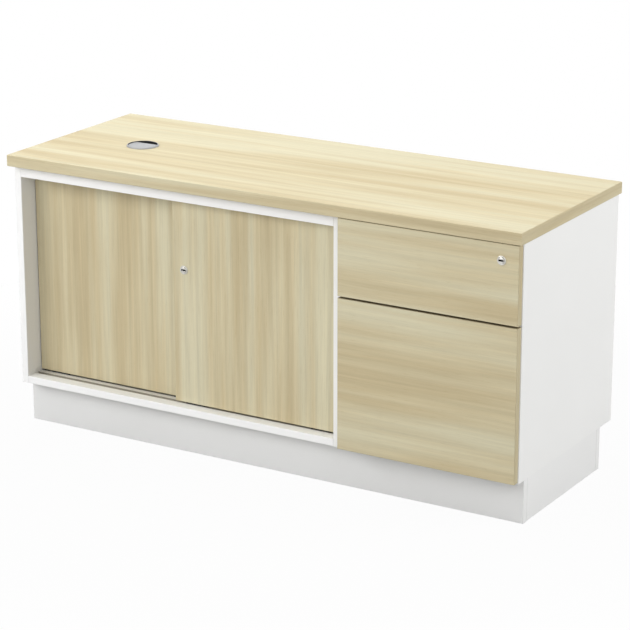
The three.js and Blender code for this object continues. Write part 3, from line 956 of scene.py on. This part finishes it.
@dataclass
class RunnerScrews:
    """The pan head screws that hold a drawer's two runner channels to its sides."""

    drawer: str
    channel_wall: float = 1.25
    head_radius: float = 3.5
    head_height: float = 1.6
    crown: tuple[Span, ...] = ((1.0, 0.4), (0.93, 0.7), (0.75, 0.92))
    recess_radius: float = 1.3
    recess_depth: float = 0.9
    first: float = 37.0
    pitch: float = 128.0
    count: int = 3
    head_steps: int = 32

    def row(self) -> bmesh.types.BMesh:
        """A row of screw heads along local Y, each standing on height 0, with black in its driver recess as
        painted shade.

        Returns:
            The mesh.
        """
        radius, height = self.head_radius, self.head_height
        bm = turned([
            (0.0, 0.0), (radius, 0.0), *((radius * out, height * up) for out, up in self.crown),
            (self.recess_radius, height), (0.0, height - self.recess_depth),
        ], self.head_steps)
        # The driver recess takes the black finish: painted shade in the hollow
        for face in bm.faces:
            middle = face.calc_center_median()
            face.material_index = int(middle.xy.length < self.recess_radius and middle.z > height / 2)
        head = bm.verts[:] + bm.edges[:] + bm.faces[:]
        for number in range(1, self.count):
            copy = bmesh.ops.duplicate(bm, geom=head)["geom"]
            bmesh.ops.translate(bm, vec=(0.0, number * self.pitch, 0.0), verts=corners_of(copy))
        return bm

    def build(self, finishes: Finishes) -> None:
        """Sets a row into each channel, heads outwards.

        Args:
            finishes: the credenza's finishes.
        """
        for side in SIDES:
            low, high = corners_mm(f"{self.drawer}_runner_{side}_drawer")
            right = side == "right"
            web = low.x + self.channel_wall if right else high.x - self.channel_wall
            place = Matrix.Translation((web, low.y + self.first, (low.z + high.z) / 2))
            outwards = Matrix.Rotation(math.pi / 2 if right else -math.pi / 2, 4, "Y")
            piece(f"{self.drawer}_runner_{side}_screws", self.row(), place @ outwards,
                  (finishes.nickel, finishes.black), "nickel_plate", f"{self.drawer}_drawer")


@dataclass
class Plinth:
    """The set-back plinth frame."""

    boards: tuple[str, ...] = ("front", "back", "left", "right")

    def dress(self, finishes: Finishes) -> None:
        """Finishes the plinth boards."""
        dress([f"plinth_{board}" for board in self.boards], finishes.plinth)


@dataclass(frozen=True)
class SoftBox:
    """A large square studio lamp, with its power in watts."""

    name: str
    place: Triple
    target: Triple
    size: float
    power: float

    def build(self) -> None:
        """Hangs the lamp and points it at its target."""
        lamp = bpy.data.lights.new(self.name, "AREA")
        lamp.shape = "SQUARE"
        lamp.size = self.size
        lamp.energy = self.power
        made = bpy.data.objects.new(self.name, lamp)
        made.location = self.place
        aim = Vector(self.target) - Vector(self.place)
        made.rotation_euler = aim.to_track_quat("-Z", "Y").to_euler()
        bpy.context.scene.collection.objects.link(made)


@dataclass
class Studio:
    """A plain white floor, soft light from above and around, and the camera at the photograph's angle.

    Angles are in degrees, and the camera's distances and lens in millimetres.
    """

    azimuth: float = 30.9592
    elevation: float = 17.5131
    roll: float = -0.0788
    aim_right: float = -14.2856
    aim_up: float = -270.4806
    distance: float = 5287.62
    lens: float = 142.51
    sensor: float = 36.0
    floor_size: float = 14.0
    floor_cells: int = 8
    floor_colour: Colour = (0.5, 0.5, 0.5)
    floor_roughness: float = 0.9
    floor_glow: float = 0.96
    glow_near: float = 0.8
    glow_far: float = 1.4
    sky_low: float = 0.22
    sky_high: float = 0.28
    lamps: tuple[SoftBox, ...] = (
        SoftBox("lamp_above", (-0.9, 0.1, 3.2), (0.0, 0.0, 0.5), 2.6, 61.0),
        SoftBox("lamp_front", (-1.2, -3.9, 1.6), (-0.2, 0.0, 0.3), 2.2, 33.0),
        SoftBox("lamp_front_left", (-2.9, -2.9, 2.45), (0.0, 0.0, 0.35), 2.0, 81.0),
        SoftBox("lamp_front_right", (2.9, -2.9, 2.3), (0.0, 0.0, 0.35), 2.0, 37.0),
        SoftBox("lamp_right", (3.4, 1.4, 2.2), (0.5, 0.0, 0.35), 2.2, 88.0),
    )

    def floor_material(self) -> bpy.types.Material:
        """A matt floor under a white glow for the camera and mirrors, fullest far from the object.

        Returns:
            The material.
        """
        material = bpy.data.materials.new("studio_floor")
        material.use_nodes = True
        nodes, links = material.node_tree.nodes, material.node_tree.links
        matt = nodes["Principled BSDF"]
        matt.inputs["Base Color"].default_value = (*self.floor_colour, 1.0)
        matt.inputs["Roughness"].default_value = self.floor_roughness
        matt.inputs["Specular IOR Level"].default_value = 0.0
        place = nodes.new("ShaderNodeTexCoord")
        away = nodes.new("ShaderNodeVectorMath")
        away.operation = "LENGTH"
        links.new(place.outputs["Object"], away.inputs[0])
        brighter = nodes.new("ShaderNodeMapRange")
        brighter.interpolation_type = "SMOOTHSTEP"
        for name, value in (("From Min", self.glow_near), ("From Max", self.glow_far),
                            ("To Min", self.floor_glow), ("To Max", 1.0)):
            brighter.inputs[name].default_value = value
        links.new(away.outputs["Value"], brighter.inputs["Value"])
        share = nodes.new("ShaderNodeMath")
        share.operation = "MULTIPLY"
        links.new(self.seen(nodes, links), share.inputs[0])
        links.new(brighter.outputs["Result"], share.inputs[1])
        glow = nodes.new("ShaderNodeEmission")
        blend = nodes.new("ShaderNodeMixShader")
        links.new(share.outputs["Value"], blend.inputs["Fac"])
        links.new(matt.outputs["BSDF"], blend.inputs[1])
        links.new(glow.outputs["Emission"], blend.inputs[2])
        links.new(blend.outputs["Shader"], nodes["Material Output"].inputs["Surface"])
        return material

    def build_floor(self) -> None:
        """Lays a floor that shows white to the camera and keeps a soft shadow."""
        bm = bmesh.new()
        bmesh.ops.create_grid(bm, x_segments=self.floor_cells, y_segments=self.floor_cells,
                              size=self.floor_size)
        mesh = bpy.data.meshes.new("studio_floor")
        bm.to_mesh(mesh)
        bm.free()
        mesh.materials.append(self.floor_material())
        floor = bpy.data.objects.new("studio_floor", mesh)
        bpy.context.scene.collection.objects.link(floor)

    @staticmethod
    def seen(nodes: bpy.types.Nodes, links: bpy.types.NodeLinks) -> Socket:
        """1 for rays from the camera and for what metal and glass show.

        Args:
            nodes: the tree's nodes.
            links: the tree's links.

        Returns:
            The value, clamped at 1.
        """
        path = nodes.new("ShaderNodeLightPath")
        total = path.outputs["Is Camera Ray"]
        for name in ("Is Glossy Ray", "Is Transmission Ray"):
            add = nodes.new("ShaderNodeMath")
            add.operation = "ADD"
            add.use_clamp = True
            links.new(total, add.inputs[0])
            links.new(path.outputs[name], add.inputs[1])
            total = add.outputs["Value"]
        return total

    def build_sky(self) -> None:
        """Sets a pale dome, brightest overhead, that shows white to the camera."""
        world = bpy.data.worlds.new("studio_surround")
        bpy.context.scene.world = world
        world.use_nodes = True
        nodes, links = world.node_tree.nodes, world.node_tree.links
        light = nodes["Background"]
        light.inputs["Color"].default_value = (1.0, 1.0, 1.0, 1.0)
        place = nodes.new("ShaderNodeTexCoord")
        split = nodes.new("ShaderNodeSeparateXYZ")
        rise = nodes.new("ShaderNodeMapRange")
        rise.inputs["To Min"].default_value = self.sky_low
        rise.inputs["To Max"].default_value = self.sky_high
        links.new(place.outputs["Generated"], split.inputs["Vector"])
        links.new(split.outputs["Z"], rise.inputs["Value"])
        links.new(rise.outputs["Result"], light.inputs["Strength"])
        white = nodes.new("ShaderNodeBackground")
        white.inputs["Color"].default_value = (1.0, 1.0, 1.0, 1.0)
        white.inputs["Strength"].default_value = 1.0
        blend = nodes.new("ShaderNodeMixShader")
        links.new(self.seen(nodes, links), blend.inputs["Fac"])
        links.new(light.outputs["Background"], blend.inputs[1])
        links.new(white.outputs["Background"], blend.inputs[2])
        links.new(blend.outputs["Shader"], nodes["World Output"].inputs["Surface"])

    def build_camera(self) -> None:
        """Stands the camera where the photograph was taken from, with no shift."""
        turn, tilt = math.radians(self.azimuth), math.radians(self.elevation)
        right = Vector((math.cos(turn), math.sin(turn), 0.0))
        back = Vector((math.sin(turn) * math.cos(tilt), -math.cos(turn) * math.cos(tilt), math.sin(tilt)))
        up = back.cross(right)
        place = (back * self.distance - right * self.aim_right - up * self.aim_up) * MM
        view = Matrix((right, up, back)).transposed().to_4x4()
        view = view @ Matrix.Rotation(math.radians(self.roll), 4, "Z")
        camera = bpy.data.cameras.new("photo_camera")
        camera.sensor_width = self.sensor
        camera.lens = self.lens
        made = bpy.data.objects.new("photo_camera", camera)
        made.matrix_world = Matrix.Translation(place) @ view
        bpy.context.scene.collection.objects.link(made)
        bpy.context.scene.camera = made

    def build(self) -> None:
        """Builds the floor, the light and the camera."""
        self.build_floor()
        self.build_sky()
        for lamp in self.lamps:
            lamp.build()
        self.build_camera()
        bpy.context.scene.view_settings.view_transform = "Standard"


def main() -> None:
    """Builds and dresses each sub-assembly."""
    logging.basicConfig(level=logging.INFO, format="%(name)s: %(message)s")
    finishes = Finishes()
    Studio().build()
    worktop = Worktop()
    worktop.build(finishes)
    worktop.dress(finishes)
    Cabinet().dress(finishes)
    SlidingDoor("front_door", decor_cut=3.1, decor_start=-0.068).dress(finishes)
    SlidingDoor("rear_door", decor_cut=6.2, decor_start=0.062).dress(finishes)
    DoorLock().build(finishes)
    Pedestal().dress(finishes)
    drawers = Drawers()
    drawers.dress(finishes)
    for drawer in drawers.names:
        RunnerScrews(drawer).build(finishes)
    DrawerLock().build(finishes)
    Plinth().dress(finishes)


if __name__ == "__main__":
    main()
